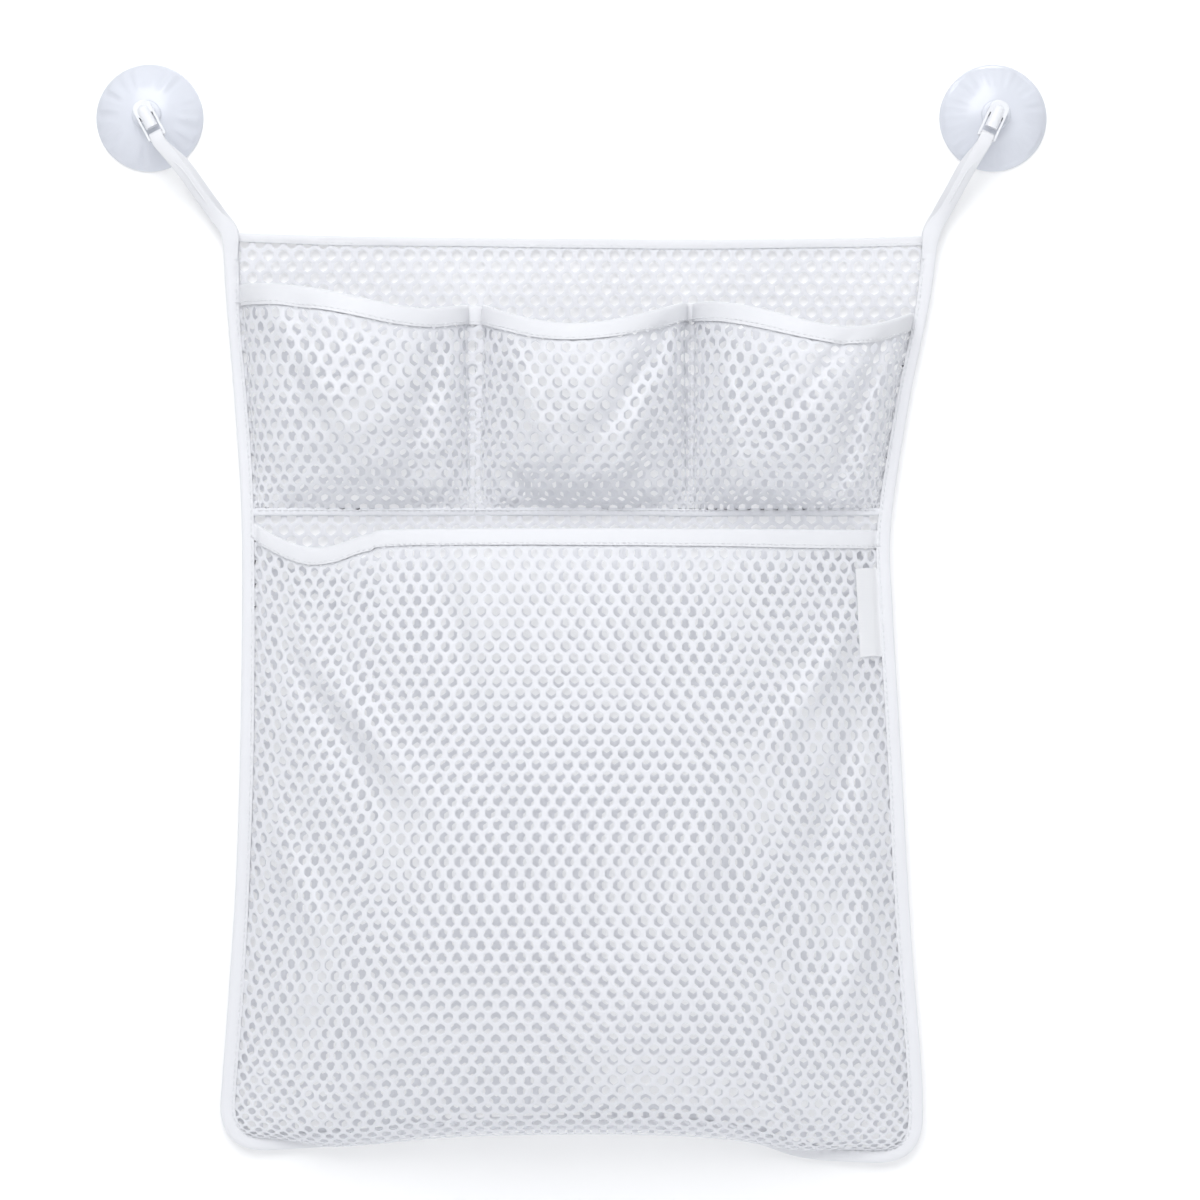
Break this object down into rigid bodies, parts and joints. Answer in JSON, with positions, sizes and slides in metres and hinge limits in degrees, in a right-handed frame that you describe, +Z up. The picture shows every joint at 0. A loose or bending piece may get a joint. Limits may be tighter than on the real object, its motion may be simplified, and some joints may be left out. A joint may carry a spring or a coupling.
{
  "type": "bath toy organizer",
  "caption": "Flat white net wall bag with small pockets over a big pocket, tape-bound edges, and corner straps looped to hooks on milky suction cups.",
  "frame": {"origin": "on the wall plane, midway between the centres of the two suction cups", "axes": "+X to the right as seen from the room, +Y into the wall, +Z up"},
  "size_m": [0.4654, 0.0744, 0.5372],
  "materials": {
    "net": "open knitted white net",
    "tape": "woven white binding tape",
    "label": "smooth white satin",
    "hook_plastic": "white moulded plastic, half gloss",
    "cup_plastic": "milky soft vinyl, glossy"
  },
  "bodies": {
    "bag": {"back_panel": "net", "upper_pocket_strip": "net", "lower_pocket": "net", "edge_binding": "tape", "top_hem": "tape", "upper_pocket_binding": "tape", "lower_pocket_binding": "tape", "side_label": "label", "left_strap": "tape", "right_strap": "tape"},
    "left_hook": {"left_hook": "hook_plastic"},
    "right_hook": {"right_hook": "hook_plastic"},
    "left_cup": {"left_cup": "cup_plastic"},
    "right_cup": {"right_cup": "cup_plastic"}
  },
  "joints": [
    {"name": "left_hook_hinge", "type": "hinge", "parent": "bag", "child": "left_hook", "pos_m": [-0.20049, -0.0181, -0.0113], "axis": [0.8829, 0, 0.4695], "range_deg": [0, 120]},
    {"name": "right_hook_hinge", "type": "hinge", "parent": "bag", "child": "right_hook", "pos_m": [0.20109, -0.0181, -0.0116], "axis": [0.9063, 0, -0.4226], "range_deg": [0, 120]},
    {"name": "left_cup_swivel", "type": "hinge", "parent": "left_hook", "child": "left_cup", "pos_m": [-0.2065, 0, 0], "axis": [0, 1, 0], "continuous": true},
    {"name": "right_cup_swivel", "type": "hinge", "parent": "right_hook", "child": "right_cup", "pos_m": [0.2065, 0, 0], "axis": [0, 1, 0], "continuous": true}
  ]
}
